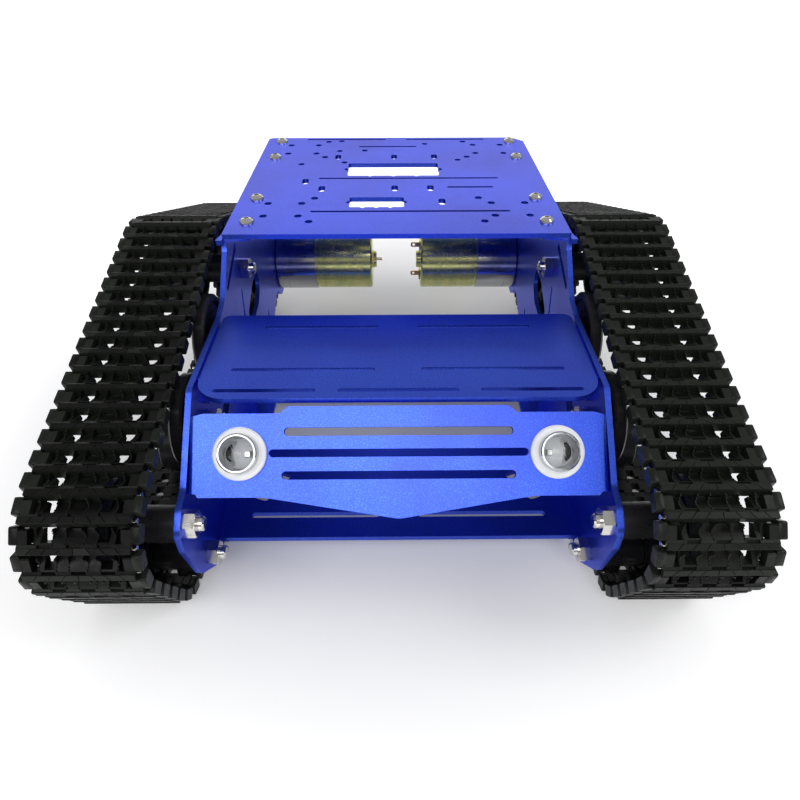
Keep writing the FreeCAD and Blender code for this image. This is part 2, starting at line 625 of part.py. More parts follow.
def motor_gearbox():
    """Round gearbox bolted to the side plate's inner face, with its output boss."""
    body = spin_x([(GEARBOX_IN, 0), (GEARBOX_IN, GEARBOX_R), (PLATE_IN - 0.6, GEARBOX_R),
                   (PLATE_IN, GEARBOX_R - 0.6), (PLATE_IN, 6.0), (71.6, 6.0), (71.6, 0)])
    groove = tube(GEARBOX_R + 1, GEARBOX_R - 0.3, 61.2, 61.8)
    body = body.cut(groove)
    body.translate(vec(0, *DRIVE_AXLE))
    cutters = [rod(SHAFT_R + 0.05, 53.0, 80, *DRIVE_AXLE)]
    cutters += [rod(M3_R + 0.05, PLATE_IN - 4.5, 80, y, z) for y, z in motor_screw_points()]
    return cut_all(body, cutters)


def motor_can():
    """Motor can behind the gearbox, with a waist at the joint and a rear bearing boss."""
    can = spin_x([(GEARBOX_IN, 0), (GEARBOX_IN, CAN_R - 1.0), (GEARBOX_IN - 1.1, CAN_R - 1.0),
                  (GEARBOX_IN - 1.1, CAN_R), (CAN_END + 0.8, CAN_R), (CAN_END, CAN_R - 0.8),
                  (CAN_END, 5.0), (CAN_END - 2.4, 4.6), (CAN_END - 2.4, 0)])
    can.translate(vec(0, *DRIVE_AXLE))
    return can


def motor_terminals(tilt):
    """Two holed solder tabs on a thin insulating strip behind the can."""
    def tab(side):
        flat = rounded_face([(-1.4, 0.0, 0), (1.4, 0.0, 0), (1.4, 5.0, 1.2), (-1.4, 5.0, 1.2)],
                            lambda w, out: vec(CAN_END - 0.6 - out, -0.3, side * 9.0 + w))
        blade = flat.extrude(vec(0, 0.6, 0))
        eye = Part.makeCylinder(0.75, 3, vec(CAN_END - 3.9, -1.5, side * 9.0), Y_AXIS)
        return blade.cut(eye)

    strips = [upright_plate([(-3.0, s * 6.2, 0.5), (3.0, s * 6.2, 0.5), (3.0, s * 12.0, 0.5),
                             (-3.0, s * 12.0, 0.5)], CAN_END - 0.8, 0.8) for s in (-1, 1)]
    shapes = [strips[0].fuse(tab(-1)), strips[1].fuse(tab(1))]
    for shape in shapes:
        shape.rotate(vec(0, 0, 0), X_AXIS, tilt)
        shape.translate(vec(0, *DRIVE_AXLE))
    return shapes


# ---- Lamps ------------------------------------------------------------------
def on_lamp(shape, x):
    """Carries a lamp piece, modelled along +X, to its place on the panel."""
    turn = FreeCAD.Rotation(X_AXIS, PANEL_OUT)
    placed = shape.copy()
    placed.Placement = FreeCAD.Placement(panel_point(x, LAMP_DOWN), turn)
    return placed


def lamp_pair(shape):
    return group([on_lamp(shape, -LAMP_X), on_lamp(shape, LAMP_X)])


def lamp_washers():
    """Frosted rings lying on the panel."""
    return lamp_pair(spin_x([(0, 5.7), (0, 8.6), (1.4, 8.6), (2.0, 8.0), (2.0, 5.7)]))


def lamp_bezels():
    """Bright cups that clamp the rings and hold the lamps."""
    return lamp_pair(spin_x([(-8.0, 5.05), (-8.0, 5.5), (2.0, 5.5), (2.0, 6.4), (5.0, 6.4),
                             (5.4, 6.0), (5.4, 5.6), (1.4, 5.05)]))


def lamp_lenses():
    """Clear round-nosed lamps inside the cups."""
    dome_r = 4.95
    barrel = rod(dome_r, -6.0, -0.4)
    dome = Part.makeSphere(dome_r, vec(-0.4, 0, 0))
    return lamp_pair(fuse_all([barrel, dome]))


def lamp_nuts():
    """Thin hex nuts that hold the cups behind the panel."""
    return lamp_pair(domed_hex_nut(13.0, 5.55, -SHEET - 2.6, -SHEET, 0, 0, 0))


# ---- Track ------------------------------------------------------------------
KNUCKLE_R = 1.7
PIN_R = 0.85
BODY_HALF = 14.2
EAR_HALF = 18.6
BAR_HALF = 16.6
WINDOW_HALF = 1.55
BUMP_HALF = 16.9            # hinge bumps at both ends of a link's pin
CELL_EDGES = (2.5, 6.2, 11.2, BODY_HALF)    # rib lines across a link, from its middle
LOOP = ((FRONT_AXLE, IDLER_PIN_R), (UPPER_AXLE, IDLER_PIN_R), (DRIVE_AXLE, DRIVE_PIN_R),
        (ROAD_AXLES[2], ROAD_PIN_R), (ROAD_AXLES[0], ROAD_PIN_R))


def track_line():
    """Pin line as (length, point function) runs, clockwise seen from the right."""
    count = len(LOOP)
    tangents = []
    for k in range(count):
        (y0, z0), r0 = LOOP[k]
        (y1, z1), r1 = LOOP[(k + 1) % count]
        apart = math.hypot(y1 - y0, z1 - z0)
        heading = math.atan2(z1 - z0, y1 - y0) - math.asin((r0 - r1) / apart)
        tangents.append((heading, math.sqrt(apart ** 2 - (r0 - r1) ** 2)))
    runs = []
    for k in range(count):
        heading, length = tangents[k]
        (y0, z0), r0 = LOOP[k]
        (y1, z1), r1 = LOOP[(k + 1) % count]
        turn = (heading - tangents[(k + 1) % count][0]) % (2 * math.pi)

        def straight(s, y0=y0, z0=z0, r0=r0, a=heading):
            return (y0 - r0 * math.sin(a) + s * math.cos(a),
                    z0 + r0 * math.cos(a) + s * math.sin(a))

        def arc(s, y1=y1, z1=z1, r1=r1, a=heading):
            b = a - s / r1
            return (y1 - r1 * math.sin(b), z1 + r1 * math.cos(b))

        runs.append((length, straight))
        runs.append((turn * r1, arc))
    return runs


def point_on(runs, s):
    for length, point in runs:
        if s <= length:
            return point(s)
        s -= length
    return point_on(runs, s)


def track_pins_at():
    """Pin centres, evenly spaced as straight chords around the closed loop."""
    runs = track_line()
    total = sum(length for length, point in runs)
    link_count = round(total / LINK_PITCH)

    def walk(pitch):
        s = 0.0
        points = [point_on(runs, s)]
        for k in range(link_count):
            low = s + pitch * 0.9
            high = s + pitch * 1.2
            for step in range(34):
                middle = (low + high) / 2
                if math.dist(point_on(runs, middle), points[-1]) < pitch:
                    low = middle
                else:
                    high = middle
            s = (low + high) / 2
            points.append(point_on(runs, s))
        return s, points

    low = total / link_count * 0.95
    high = total / link_count
    for step in range(34):
        middle = (low + high) / 2
        if walk(middle)[0] < total:
            low = middle
        else:
            high = middle
    return walk((low + high) / 2)[1]


def track_link(pitch):
    """One link: web, two windows, interleaved hinge knuckles, grouser bar and ears.

    Its first pin is at the origin, the second one pitch along Y, and +Z faces outward.
    """
    gap = 0.12
    inner = -LINK_IN
    lead_cells = [(-CELL_EDGES[2], -CELL_EDGES[1]), (-CELL_EDGES[0], CELL_EDGES[0]),
                  (CELL_EDGES[1], CELL_EDGES[2])]
    trail_cells = [(-CELL_EDGES[3], -CELL_EDGES[2]), (-CELL_EDGES[1], -CELL_EDGES[0]),
                   (CELL_EDGES[0], CELL_EDGES[1]), (CELL_EDGES[2], CELL_EDGES[3])]
    web_start = KNUCKLE_R + 0.25
    web_end = pitch - web_start
    bar = [(-1.0, 1.95), (web_start, 1.95), (web_start, inner), (web_start + 0.6, inner),
           (web_start + 0.6, 0.4), (web_start, LINK_OUT - 0.3), (web_start - 0.3, LINK_OUT),
           (-0.7, LINK_OUT), (-1.0, LINK_OUT - 0.3)]
    bar_face = Part.Face(Part.makePolygon([vec(-BAR_HALF, y, z) for y, z in bar + bar[:1]]))
    solids = [block(-BODY_HALF, BODY_HALF, web_start, web_end, inner, 0.5),
              bar_face.extrude(vec(2 * BAR_HALF, 0, 0))]
    for x0, x1 in lead_cells:
        solids.append(rod(KNUCKLE_R, x0 + gap, x1 - gap))
        solids.append(block(x0 + gap, x1 - gap, 0, web_start + 0.1, inner + 0.05, 2.0))
    for x0, x1 in trail_cells:
        solids.append(rod(KNUCKLE_R, x0 + gap, x1 - gap, pitch, 0))
        solids.append(block(x0 + gap, x1 - gap, web_end - 0.1, pitch, inner + 0.05, 0.5))
    for side in (-1, 1):
        ear = sorted((side * (BODY_HALF - 0.01), side * (BUMP_HALF + 0.2)))
        bump = sorted((side * (BODY_HALF + gap), side * BUMP_HALF))
        tip = sorted((side * (BUMP_HALF + 0.1), side * EAR_HALF))
        solids += [rod(KNUCKLE_R, *bump),
                   block(*bump, 0, web_start + 0.1, -1.5, 1.7),
                   block(*ear, web_start, pitch - 2.1, -1.5, 2.7),
                   block(*tip, web_start, pitch - 1.1, -1.2, 2.8)]
    link = fuse_all(solids)
    cutters = [rod(PIN_R + 0.06, -20, 20), rod(PIN_R + 0.06, -20, 20, pitch, 0)]
    for side in (-1, 1):
        middle = side * TOOTH_RING_OFFSET
        cutters.append(block(middle - WINDOW_HALF, middle + WINDOW_HALF,
                             web_start + 0.6, web_end + 0.01, -5, 5))
    return cut_all(link, cutters).removeSplitter()


def track(side):
    """Links and pins of one endless track."""
    pins_at = track_pins_at()
    pitch = math.dist(pins_at[0], pins_at[1])
    link = track_link(pitch)
    pin = rod(PIN_R, -BUMP_HALF - 0.1, BUMP_HALF + 0.1)
    links = []
    pins = []
    for (y0, z0), (y1, z1) in zip(pins_at[:-1], pins_at[1:]):
        heading = math.degrees(math.atan2(z1 - z0, y1 - y0))
        place = FreeCAD.Placement(vec(side * TRACK_X, y0, z0), FreeCAD.Rotation(X_AXIS, heading))
        for shape, shelf in ((link, links), (pin, pins)):
            copy = shape.copy()
            copy.Placement = place
            shelf.append(copy)
    print("track of", len(links), "links, pitch", round(pitch, 4))
    return group(links), group(pins)


# ---- Assembly ---------------------------------------------------------------
def build():
    parts = {
        "deck_plate": deck_plate(),
        "hood_plate": hood_plate(),
        "front_panel": front_panel(),
        "bottom_plate": bottom_plate(),
        "deck_screws": deck_screws(),
        "deck_nuts": deck_nuts(),
        "side_screws": side_screws(),
        "side_nuts": side_nuts(),
        "motor_screws": motor_screws(),
        "axle_bolts": axle_bolts(),
        "roller_bolts": roller_bolts(),
        "axle_nuts": axle_nuts(),
        "axle_spacers": axle_spacers(),
        "lamp_washers": lamp_washers(),
        "lamp_bezels": lamp_bezels(),
        "lamp_lenses": lamp_lenses(),
        "lamp_nuts": lamp_nuts(),
    }
    wheels = {"front_wheel": (FRONT_AXLE, IDLER_PIN_R),
              "upper_wheel": (UPPER_AXLE, IDLER_PIN_R),
              "road_wheel_front": (ROAD_AXLES[0], ROAD_PIN_R),
              "road_wheel_middle": (ROAD_AXLES[1], ROAD_PIN_R),
              "road_wheel_rear": (ROAD_AXLES[2], ROAD_PIN_R)}
    rollers = {"roller_front": ROLLER_AXLES[0], "roller_rear": ROLLER_AXLES[1]}
    terminal_tilts = {"right": 0, "left": 61}
    for name, side in SIDES:
        parts["side_plate_" + name] = mirrored(side_plate(), side)
        parts["motor_gearbox_" + name] = mirrored(motor_gearbox(), side)
        parts["motor_can_" + name] = mirrored(motor_can(), side)
        tabs = motor_terminals(terminal_tilts[name])
        parts["motor_terminals_" + name] = group([mirrored(t, side) for t in tabs])
        parts["motor_shaft_" + name] = mirrored(motor_shaft(), side)
        parts["sprocket_hub_" + name] = mirrored(sprocket_hub(), side)
        parts["drive_sprocket_" + name] = mirrored(drive_sprocket(), side)
        for wheel, (axle, pin_r) in wheels.items():
            parts[wheel + "_" + name] = mirrored(track_wheel(pin_r, *axle), side)
            parts[wheel + "_bearings_" + name] = mirrored(wheel_bearings(*axle), side)
        for roller, axle in rollers.items():
            parts[roller + "_" + name] = mirrored(support_roller(*axle), side)
        links, pins = track(side)
        parts["track_links_" + name] = links
        parts["track_pins_" + name] = pins
    return parts


def main():
    os.makedirs("parts", exist_ok=True)
    parts = build()
    whole = group(list(parts.values())).optimalBoundingBox(False)
    shift = vec(0, -(whole.YMin + whole.YMax) / 2, -whole.ZMin)
    print("size", round(whole.XLength, 2), round(whole.YLength, 2), round(whole.ZLength, 2))
    print("shift", round(shift.y, 4), round(shift.z, 4))
    for name, shape in sorted(parts.items()):
        shape.translate(shift)
        shape.exportStep("parts/" + name + ".step")
    print(len(parts), "nodes")


main()
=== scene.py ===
import json
import math

import bmesh
import bpy
from mathutils import Matrix, Vector


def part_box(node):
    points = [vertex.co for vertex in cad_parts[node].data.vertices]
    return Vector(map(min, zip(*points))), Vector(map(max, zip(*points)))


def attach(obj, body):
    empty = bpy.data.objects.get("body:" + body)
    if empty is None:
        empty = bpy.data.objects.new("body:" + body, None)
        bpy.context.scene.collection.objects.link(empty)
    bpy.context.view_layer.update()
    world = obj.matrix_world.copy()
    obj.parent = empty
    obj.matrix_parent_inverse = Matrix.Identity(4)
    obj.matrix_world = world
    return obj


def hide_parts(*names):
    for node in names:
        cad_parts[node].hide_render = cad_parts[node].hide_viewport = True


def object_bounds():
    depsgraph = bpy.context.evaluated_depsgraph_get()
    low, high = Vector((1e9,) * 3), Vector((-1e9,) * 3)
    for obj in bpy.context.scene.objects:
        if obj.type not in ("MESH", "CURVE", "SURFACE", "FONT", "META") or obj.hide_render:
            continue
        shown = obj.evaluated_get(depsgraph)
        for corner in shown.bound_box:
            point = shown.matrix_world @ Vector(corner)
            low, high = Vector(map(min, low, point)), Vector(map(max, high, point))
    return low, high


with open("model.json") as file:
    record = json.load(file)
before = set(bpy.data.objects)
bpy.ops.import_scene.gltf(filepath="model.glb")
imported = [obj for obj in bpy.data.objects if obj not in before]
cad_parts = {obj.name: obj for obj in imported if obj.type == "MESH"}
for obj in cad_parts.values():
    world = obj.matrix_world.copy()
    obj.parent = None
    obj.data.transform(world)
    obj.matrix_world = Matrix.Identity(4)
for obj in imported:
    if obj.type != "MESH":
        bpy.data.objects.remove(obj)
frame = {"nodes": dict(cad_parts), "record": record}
cad_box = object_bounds()
nodes = frame["nodes"]
MM = 0.001
SIDES = (("left", -1), ("right", 1))
WELD = 1e-6         # vertices closer than this are one point, metres


# ---- Node helpers -----------------------------------------------------------
class Shader:
    """A Principled material and short ways to build its node tree."""

    def __init__(self, name, color, rough, metal=0.0, **sockets):
        self.mat = bpy.data.materials.new(name)
        self.mat.use_nodes = True
        self.tree = self.mat.node_tree
        self.bsdf = self.tree.nodes["Principled BSDF"]
        self.color = color
        self.rough = rough
        self.set("Base Color", (*color, 1.0))
        self.set("Roughness", rough)
        self.set("Metallic", metal)
        for key, value in sockets.items():
            self.set(key.replace("_", " "), value)
        self.coord = self.tree.nodes.new("ShaderNodeTexCoord").outputs["Object"]
        self.bumped = None

    def set(self, socket, value):
        self.bsdf.inputs[socket].default_value = value

    def link(self, a, b):
        self.tree.links.new(a, b)

    def node(self, kind, **values):
        made = self.tree.nodes.new(kind)
        for key, value in values.items():
            setattr(made, key, value)
        return made

    def stretched(self, sx, sy, sz):
        """Object coordinates scaled by axis, for bands and turning marks."""
        mapping = self.node("ShaderNodeMapping")
        mapping.inputs["Scale"].default_value = (sx, sy, sz)
        self.link(self.coord, mapping.inputs["Vector"])
        return mapping.outputs["Vector"]

    def noise(self, scale, detail=3.0, rough=0.55, vector=None):
        made = self.node("ShaderNodeTexNoise")
        made.inputs["Scale"].default_value = scale
        made.inputs["Detail"].default_value = detail
        made.inputs["Roughness"].default_value = rough
        self.link(vector or self.coord, made.inputs["Vector"])
        return made.outputs["Fac"]

    def spread(self, value, low, high, to_low=0.0, to_high=1.0):
        """Maps low..high onto to_low..to_high and clamps the rest."""
        made = self.node("ShaderNodeMapRange")
        for socket, number in zip(("From Min", "From Max", "To Min", "To Max"),
                                  (low, high, to_low, to_high)):
            made.inputs[socket].default_value = number
        self.link(value, made.inputs["Value"])
        return made.outputs["Result"]

    def tint(self, factor, other, base=None):
        """Mixes the colour towards another by a 0..1 factor; calls stack up."""
        made = self.node("ShaderNodeMix", data_type="RGBA")
        self.link(factor, made.inputs["Factor"])
        before = self.bsdf.inputs["Base Color"].links
        if before:
            self.link(before[0].from_socket, made.inputs["A"])
        else:
            made.inputs["A"].default_value = (*self.color, 1.0)
        made.inputs["B"].default_value = (*other, 1.0)
        self.link(made.outputs["Result"], self.bsdf.inputs["Base Color"])

    def rough_from(self, value, low, high):
        """Roughness that follows a noise between two limits."""
        self.link(self.spread(value, 0.3, 0.7, low, high), self.bsdf.inputs["Roughness"])

    def bump(self, height, strength, distance):
        """Adds a bump on top of any before it."""
        made = self.node("ShaderNodeBump")
        made.inputs["Strength"].default_value = strength
        made.inputs["Distance"].default_value = distance
        self.link(height, made.inputs["Height"])
        if self.bumped:
            self.link(self.bumped, made.inputs["Normal"])
        self.bumped = made.outputs["Normal"]
        self.link(self.bumped, self.bsdf.inputs["Normal"])

    def painted_edge_highlight(self, other, low=0.52, high=0.60):
        """Painted highlight: lighter colour where the surface turns a sharp outside corner, as if
        the edge caught the light.
        """
        geometry = self.node("ShaderNodeNewGeometry")
        self.tint(self.spread(geometry.outputs["Pointiness"], low, high), other)


# ---- Materials --------------------------------------------------------------
def blue_anodised():
    """Blue dyed anodising over a fine-blasted surface."""
    s = Shader("blue_anodised", (0.010, 0.052, 0.54), 0.34, 0.94, Coat_Weight=0.58,
               Coat_IOR=1.6, Coat_Roughness=0.30, Specular_Tint=(0.25, 0.35, 0.95, 1.0))
    fine = s.noise(2300, 3.0, 0.65)
    cloud = s.noise(28, 3.0)
    s.tint(s.spread(fine, 0.47, 0.70), (0.035, 0.13, 0.84))
    s.tint(s.spread(cloud, 0.45, 0.75, 0.0, 0.35), (0.006, 0.016, 0.42))
    s.rough_from(cloud, 0.30, 0.40)
    s.bump(fine, 0.38, 0.00007)
    s.bump(s.noise(9000, 2.0), 0.18, 0.00003)
    return s.mat


def bright_steel():
    """Zinc-plated fasteners with faint smears."""
    s = Shader("bright_steel", (0.68, 0.67, 0.64), 0.18, 1.0)
    smear = s.noise(420, 4.0)
    s.tint(s.spread(smear, 0.5, 0.75, 0.0, 0.6), (0.44, 0.43, 0.40))
    s.rough_from(smear, 0.12, 0.26)
    s.bump(s.noise(2400, 3.0), 0.1, 0.00002)
    return s.mat


def turned_steel():
    """Polished shell with fine turning marks round its axis."""
    s = Shader("turned_steel", (0.46, 0.46, 0.44), 0.15, 1.0)
    rings = s.noise(1.0, 3.0, 0.6, s.stretched(2600, 14, 14))
    blotch = s.noise(120, 3.0)
    s.tint(s.spread(blotch, 0.5, 0.8, 0.0, 0.4), (0.30, 0.30, 0.27))
    s.rough_from(rings, 0.10, 0.22)
    s.bump(rings, 0.16, 0.00003)
    return s.mat


def zinc_can():
    """Yellow passivated zinc: straw colour in faint bands that drift towards green."""
    s = Shader("zinc_can", (0.62, 0.61, 0.24), 0.22, 1.0)
    bands = s.noise(1.0, 2.0, 0.5, s.stretched(260, 24, 24))
    s.tint(s.spread(bands, 0.40, 0.64, 0.0, 0.7), (0.46, 0.52, 0.22))
    s.tint(s.spread(s.noise(40, 2.0), 0.50, 0.80, 0.0, 0.35), (0.62, 0.49, 0.27))
    s.rough_from(s.noise(300, 3.0), 0.18, 0.30)
    s.bump(s.noise(1500, 3.0), 0.12, 0.00003)
    return s.mat


def chrome():
    """Plated lamp rim."""
    s = Shader("chrome", (0.44, 0.45, 0.47), 0.08, 1.0)
    s.rough_from(s.noise(500, 3.0), 0.05, 0.14)
    s.tint(s.spread(s.noise(160, 3.0), 0.55, 0.8, 0.0, 0.3), (0.34, 0.35, 0.37))
    return s.mat


def brass():
    """Turned hubs and the motors' terminals, slightly tarnished."""
    s = Shader("brass", (0.72, 0.53, 0.22), 0.28, 1.0)
    s.tint(s.spread(s.noise(240, 3.0), 0.45, 0.7), (0.52, 0.36, 0.14))
    s.rough_from(s.noise(900, 3.0), 0.2, 0.4)
    return s.mat


def bearing_steel():
    """Ground bearing rings with an oil film."""
    s = Shader("bearing_steel", (0.5, 0.5, 0.49), 0.26, 1.0)
    s.tint(s.spread(s.noise(700, 3.0), 0.45, 0.7), (0.3, 0.3, 0.29))
    s.rough_from(s.noise(900, 3.0), 0.2, 0.4)
    return s.mat


def moulded(name, color, light, rough):
    """Injection-moulded nylon: faint mottling, fine grain and a painted highlight on sharp edges.
    """
    s = Shader(name, color, rough, 0.0, Specular_IOR_Level=0.14)
    mottle = s.noise(150, 4.0)
    s.tint(s.spread(mottle, 0.42, 0.72, 0.0, 0.8), light)
    # painted highlight: sharp outside edges lighter, as if catching the light
    s.painted_edge_highlight(tuple(min(1.0, 1.8 * c) for c in light))
    s.rough_from(s.noise(420, 3.0), rough - 0.10, rough + 0.12)
    s.bump(s.noise(2600, 3.0), 0.35, 0.00005)
    s.bump(mottle, 0.2, 0.0002)
    return s.mat


def frosted():
    """Milky plastic ring round each lamp."""
    s = Shader("frosted", (0.94, 0.95, 0.97), 0.42, 0.0, Transmission_Weight=0.12, IOR=1.46)
    s.tint(s.spread(s.noise(300, 3.0), 0.4, 0.7), (0.84, 0.87, 0.92))
    s.bump(s.noise(1800, 3.0), 0.4, 0.00008)
    return s.mat


def clear_lens():
    """Clear moulded lens with a trace of haze."""
    s = Shader("clear_lens", (0.93, 0.95, 0.97), 0.03, 0.0, Transmission_Weight=1.0, IOR=1.49)
    s.rough_from(s.noise(300, 2.0), 0.02, 0.07)
    return s.mat


LOOK = {
    "plate_blue": blue_anodised(),
    "bright_steel": bright_steel(),
    "track_nylon": moulded("track_nylon", (0.0030, 0.0034, 0.0029), (0.0064, 0.0074, 0.0062), 0.36),
    "wheel_nylon": moulded("wheel_nylon", (0.0035, 0.0035, 0.004), (0.007, 0.007, 0.008), 0.32),
    "gearbox_steel": turned_steel(),
    "can_zinc": zinc_can(),
    "chrome": chrome(),
    "frosted_ring": frosted(),
    "lamp_clear": clear_lens(),
    "brass": brass(),
    "bearing_steel": bearing_steel(),
}

SLOT_OF = {row["node"]: row["material_slot"] for row in frame["record"]["subparts"]}
BODY_OF = {node: body for body, members in frame["record"]["behaviour"]["bodies"].items()
           for node in members}


def dress(obj, material):
    obj.data.materials.clear()
    obj.data.materials.append(material)


for name, obj in nodes.items():
    dress(obj, LOOK[SLOT_OF[name]])


# ---- Mesh helpers -----------------------------------------------------------
def piece(name, bm, slot, body, replaces=(), smooth=35):
    """Turns a bmesh into an object that rides on a body."""
    bmesh.ops.recalc_face_normals(bm, faces=bm.faces)
    mesh = bpy.data.meshes.new(name)
    bm.to_mesh(mesh)
    bm.free()
    obj = bpy.data.objects.new(name, mesh)
    bpy.context.scene.collection.objects.link(obj)
    dress(obj, LOOK[slot])
    for polygon in mesh.polygons:
        polygon.use_smooth = True
    mesh.set_sharp_from_angle(angle=math.radians(smooth))
    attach(obj, body)
    if replaces:
        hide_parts(*replaces)
    return obj


def add_prism(bm, outline, low, high, axis="x", bevel=0.0):
    """Closed prism through a flat outline, from low to high along an axis."""
    def place(u, v, w):
        return {"x": (w, u, v), "y": (u, w, v), "z": (u, v, w)}[axis]

    ends = [[bm.verts.new(place(u, v, w)) for u, v in outline] for w in (low, high)]
    faces = [bm.faces.new(ends[0][::-1]), bm.faces.new(ends[1])]
    count = len(outline)
    for k in range(count):
        after = (k + 1) % count
        faces.append(bm.faces.new((ends[0][k], ends[0][after], ends[1][after], ends[1][k])))
    if bevel:
        edges = list({e for f in faces for e in f.edges})
        bmesh.ops.bevel(bm, geom=edges, offset=bevel, segments=1, affect="EDGES",
                        clamp_overlap=True)


def add_block(bm, x0, x1, y0, y1, z0, z1, bevel=0.0):
    add_prism(bm, [(y0, z0), (y1, z0), (y1, z1), (y0, z1)], x0, x1, "x", bevel)


def add_rod(bm, radius, x0, x1, y=0.0, z=0.0, sides=18, bevel=0.0):
    """Round bar along X, with chamfered rims when bevel is given."""
    ring = [(y + radius * math.cos(2 * math.pi * k / sides),
             z + radius * math.sin(2 * math.pi * k / sides)) for k in range(sides)]
    if not bevel:
        add_prism(bm, ring, x0, x1, "x")
        return
    shrink = (radius - bevel) / radius
    small = [(y + (u - y) * shrink, z + (v - z) * shrink) for u, v in ring]
    loops = []
    for x, shape in ((x0, small), (x0 + bevel, ring), (x1 - bevel, ring), (x1, small)):
        loops.append([bm.verts.new((x, u, v)) for u, v in shape])
    bm.faces.new(loops[0][::-1])
    bm.faces.new(loops[-1])
    for a, b in zip(loops, loops[1:]):
        for k in range(sides):
            after = (k + 1) % sides
            bm.faces.new((a[k], a[after], b[after], b[k]))


# ---- Track links ------------------------------------------------------------
# Millimetres. X runs across the track, Y along it from the link's first pin, Z out of the loop.
KNUCKLE_R = 1.55
LINK_IN = -1.75                 # inner face, on the wheels
LINK_OUT = 3.27                 # top of the pads, on the ground
PAD_BASE = 2.9
BODY_HALF = 14.2
BUMP_HALF = 15.7                # bump that holds the pin's end
BAR_HALF = 16.3
EAR_HALF = 18.6
CELL_EDGES = (2.5, 6.2, 11.2)   # ribs, and the ends of the interleaved knuckles
WINDOW_IN = 6.5
WINDOW_OUT = 9.8
WEB_HALF = 11.6
END_CELL = 13.4
WALL_START = 1.62               # where the hollow begins behind the bar
WEB_TRIM = 1.85                 # the web stops this far before the next pin
CLEAR = 0.12
PAD_GAP = 0.10                  # half of the groove between two pads
RIB_HALF = 0.14
RIB_STEPS = 6
# Floor of the hollow as (y, z)
SLOPE = ((WALL_START, 2.6), (2.5, 2.1), (3.6, 1.25), (4.8, 0.5), (5.9, 0.15))
# Grooves between the pads as (x, half of how far the groove leans)
PAD_CUTS = ((-BAR_HALF, 0.0), (-12.6, 0.8), (-8.4, 0.8), (-4.4, 0.8), (0.0, 0.0),
            (4.4, -0.8), (8.4, -0.8), (12.6, -0.8), (BAR_HALF, 0.0))


def slope_at(y):
    """Height of the hollow's sloping floor behind the bar."""
    for (y0, z0), (y1, z1) in zip(SLOPE, SLOPE[1:]):
        if y <= y1:
            return z0 + (z1 - z0) * (y - y0) / (y1 - y0)
    return SLOPE[-1][1]


def add_link_web(bm, pitch):
    """Sloping floor of the hollow, in strips that leave the two windows open."""
    web_end = pitch - WEB_TRIM
    full = [(WALL_START, LINK_IN)] + list(SLOPE[:-1]) + [(web_end, 0.15), (web_end, LINK_IN)]
    short = [(WALL_START, LINK_IN), (WALL_START, 2.6), (2.1, 2.3), (2.2, LINK_IN)]
    for side in (-1, 1):
        for x0, x1, shape in ((0.0, WINDOW_IN, full), (WINDOW_IN, WINDOW_OUT, short),
                              (WINDOW_OUT, WEB_HALF, full)):
            add_prism(bm, shape, *sorted((side * x0, side * x1)), "x")
        corner = sorted((side * WEB_HALF, side * END_CELL))
        add_block(bm, *corner, WALL_START, web_end, LINK_IN, -0.5)


def add_link_bar(bm):
    """Grouser bar: steep front face, low core and separate pads divided by chevrons."""
    core = [(-1.3, 1.7), (0.75, 1.7), (0.75, 3.0), (-1.15, 3.0), (-1.3, 2.8)]
    add_prism(bm, core, -BAR_HALF, BAR_HALF, "x")
    wall = [(-1.62, 0.35), (-1.58, 0.35), (-1.15, 3.0), (-1.3, 3.0)]
    add_prism(bm, wall, -BAR_HALF + 1.0, BAR_HALF - 1.0, "x")
    for x0, x1 in ((-BAR_HALF, -10.6), (-6.6, -2.1), (2.1, 6.6), (10.6, BAR_HALF)):
        add_prism(bm, [(0.7, 1.7), (WALL_START, 1.7), (WALL_START, 2.6), (0.7, 3.0)], x0, x1, "x")
    for (x0, lean0), (x1, lean1) in zip(PAD_CUTS, PAD_CUTS[1:]):
        top = [(x0 - lean0 + PAD_GAP, -1.2), (x1 - lean1 - PAD_GAP, -1.2),
               (x1 + lean1 - PAD_GAP, 0.7), (x0 + lean0 + PAD_GAP, 0.7)]
        add_prism(bm, top, PAD_BASE, LINK_OUT, "z", 0.09)


def add_link_ribs(bm, pitch):
    """Thin bowed ribs that run down the hollow's slope."""
    end = pitch - 1.5
    for side in (-1, 1):
        for x, bow in zip(CELL_EDGES, (0.5, 0.4, 0.3)):
            last = None
            for k in range(RIB_STEPS + 1):
                t = k / RIB_STEPS
                y = 1.3 + t * (end - 1.3)
                here = side * (x + bow * math.sin(math.pi * t) - 0.4 * t)
                top = min(3.05, max(slope_at(max(y, WALL_START)) + 0.5, 0.5 + 2.4 * t * t))
                if last:
                    corners = [(last[0] - RIB_HALF, last[1]), (last[0] + RIB_HALF, last[1]),
                               (here + RIB_HALF, y + 0.02), (here - RIB_HALF, y + 0.02)]
                    add_prism(bm, corners, -0.6, top, "z")
                last = (here, y)


def add_link_hinge(bm, pitch):
    """Knuckles that interleave with the next link's."""
    web_end = pitch - WEB_TRIM
    lead = ((-CELL_EDGES[2], -CELL_EDGES[1]), (-CELL_EDGES[0], CELL_EDGES[0]),
            (CELL_EDGES[1], CELL_EDGES[2]))
    trail = ((-BODY_HALF, -CELL_EDGES[2]), (-CELL_EDGES[1], -CELL_EDGES[0]),
             (CELL_EDGES[0], CELL_EDGES[1]), (CELL_EDGES[2], BODY_HALF))
    for x0, x1 in lead:
        add_rod(bm, KNUCKLE_R, x0 + CLEAR, x1 - CLEAR, 0, 0, 20, 0.12)
        add_block(bm, x0 + CLEAR, x1 - CLEAR, 0.2, WALL_START + 0.2, LINK_IN + 0.06, 1.9)
    for x0, x1 in trail:
        add_rod(bm, KNUCKLE_R, x0 + CLEAR, x1 - CLEAR, pitch, 0, 20, 0.12)
        add_block(bm, x0 + CLEAR, x1 - CLEAR, web_end - 0.2, pitch - 0.2, LINK_IN + 0.06, 0.15)


